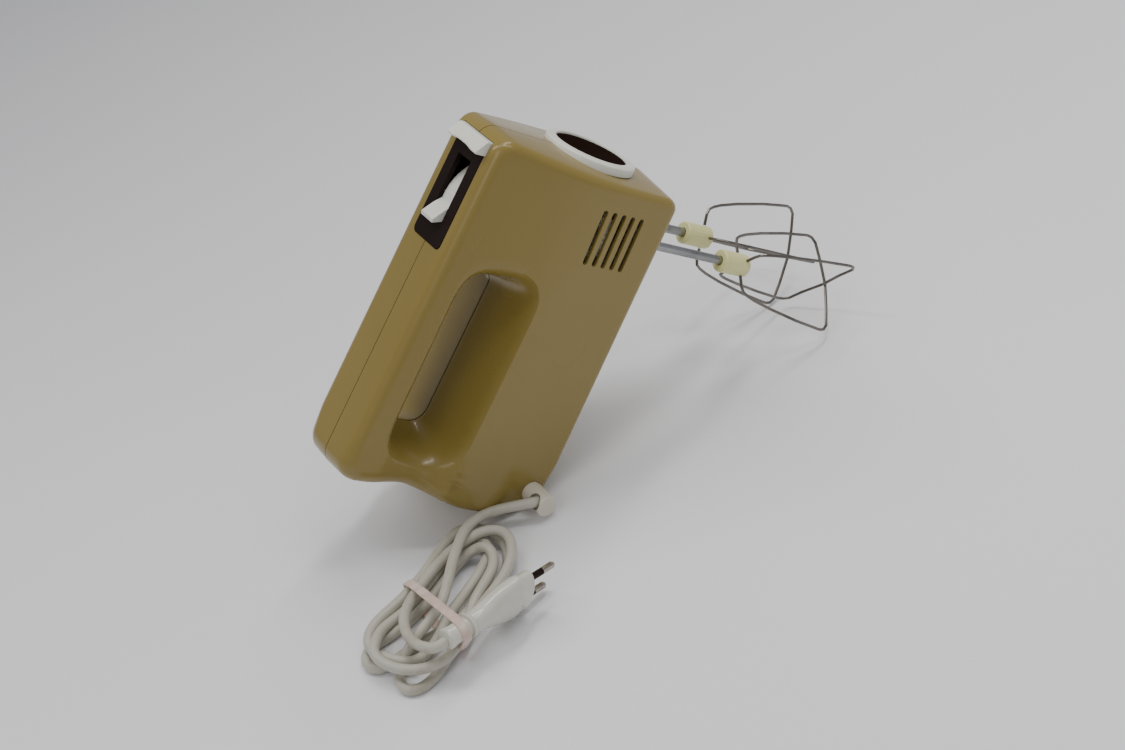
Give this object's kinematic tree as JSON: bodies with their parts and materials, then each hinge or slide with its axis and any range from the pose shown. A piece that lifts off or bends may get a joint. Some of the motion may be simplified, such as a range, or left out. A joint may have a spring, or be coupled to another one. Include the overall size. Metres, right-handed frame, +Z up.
{
  "type": "hand mixer",
  "caption": "Electric hand mixer with a closed loop handle, thumb speed lever, eject bar and counter-turning wire beaters, its mains cord tied in a hank",
  "frame": {"origin": "on the surface that the mixer rests on, below the middle of the bounding box of the mixer without its cord", "axes": "+Z up, +X from the heel towards the beaters, +Y to the mixer's left; the cord outlet is on the -Y side. The mixer's own long axis is pitched nose up by 49.85 degrees about Y, at rest on its heel and beater tips"},
  "size_m": [0.376, 0.1796, 0.2187],
  "materials": {
    "beige_plastic": "smooth moulded plastic, olive beige, satin gloss",
    "dark_plastic": "glossy near-black brown plastic",
    "white_plastic": "off-white moulded plastic",
    "ivory_plastic": "pale yellowish ivory plastic",
    "steel": "bright drawn steel, slightly dulled",
    "plated_pin": "nickel plated brass",
    "iron": "stacked steel laminations",
    "copper": "enamelled copper wire",
    "carbon": "black, matt",
    "brass": "plain brass",
    "nylon": "natural nylon",
    "cord_pvc": "grey-beige flexible PVC",
    "rubber_band": "thin pink-beige rubber"
  },
  "bodies": {
    "body": {"bearing_front": "brass", "bearing_rear": "brass", "brush_holder_left": "brass", "brush_holder_right": "brass", "carbon_brush_left": "carbon", "carbon_brush_right": "carbon", "cord_gland": "white_plastic", "cord_hank": "cord_pvc", "cord_lead": "cord_pvc", "eject_spring": "steel", "field_coil_lower": "copper", "field_coil_upper": "copper", "front_cap": "dark_plastic", "front_ring": "white_plastic", "gear_frame": "nylon", "housing_left": "beige_plastic", "housing_right": "beige_plastic", "inner_lead": "cord_pvc", "lever_pin": "steel", "plug_body": "white_plastic", "plug_pin_lower": "plated_pin", "plug_pin_upper": "plated_pin", "plug_sleeve_lower": "dark_plastic", "plug_sleeve_upper": "dark_plastic", "rear_bracket": "nylon", "rubber_band": "rubber_band", "screw_handle": "steel", "screw_heel": "steel", "screw_nose_bottom": "steel", "screw_nose_top": "steel", "spindle_bush_left": "ivory_plastic", "spindle_bush_right": "ivory_plastic", "stator_core": "iron", "switch_block": "carbon", "switch_panel": "dark_plastic"},
    "armature": {"worm_shaft": "steel", "armature_core": "iron", "winding_front": "copper", "winding_rear": "copper", "commutator": "copper", "cooling_fan": "nylon"},
    "spindle_right_body": {"spindle_right": "steel", "worm_wheel_right": "nylon"},
    "spindle_left_body": {"spindle_left": "steel", "worm_wheel_left": "nylon"},
    "beater_right": {"beater_shaft_right": "steel", "beater_hub_right": "ivory_plastic", "beater_wire_outer_right": "steel", "beater_wire_inner_right": "steel"},
    "beater_left": {"beater_shaft_left": "steel", "beater_hub_left": "ivory_plastic", "beater_wire_outer_left": "steel", "beater_wire_inner_left": "steel"},
    "ejector": {"eject_button": "white_plastic", "ejector_yoke": "nylon"},
    "lever": {"speed_lever": "white_plastic"}
  },
  "joints": [
    {"name": "armature_spin", "type": "hinge", "parent": "body", "child": "armature", "pos_m": [0.01005, -0.0035, 0.13824], "axis": [0.6448, 0, 0.7644], "continuous": true},
    {"name": "spindle_right_spin", "type": "hinge", "parent": "body", "child": "spindle_right_body", "pos_m": [0.01005, -0.0225, 0.13824], "axis": [-0.7644, 0, 0.6448], "continuous": true},
    {"name": "spindle_left_spin", "type": "hinge", "parent": "body", "child": "spindle_left_body", "pos_m": [0.01005, 0.0155, 0.13824], "axis": [-0.7644, 0, 0.6448], "continuous": true},
    {"name": "beater_right_slide", "type": "slide", "parent": "spindle_right_body", "child": "beater_right", "axis": [0.7644, 0, -0.6448], "range_m": [0, 0.005]},
    {"name": "beater_left_slide", "type": "slide", "parent": "spindle_left_body", "child": "beater_left", "axis": [0.7644, 0, -0.6448], "range_m": [0, 0.005]},
    {"name": "eject_press", "type": "slide", "parent": "body", "child": "ejector", "axis": [0.7644, 0, -0.6448], "range_m": [0, 0.005], "stiffness_N_per_m": 600, "springref_m": -0.004, "deforming": ["eject_spring"]},
    {"name": "speed_lever_turn", "type": "hinge", "parent": "body", "child": "lever", "pos_m": [-0.03562, -0.0035, 0.16629], "axis": [0, 1, 0], "range_deg": [0, 40]}
  ],
  "couplings": [
    {"joint": "spindle_right_spin", "follows": "armature_spin", "ratio": -0.076923},
    {"joint": "spindle_left_spin", "follows": "armature_spin", "ratio": 0.076923},
    {"joint": "beater_right_slide", "follows": "eject_press", "ratio": 1},
    {"joint": "beater_left_slide", "follows": "eject_press", "ratio": 1}
  ]
}
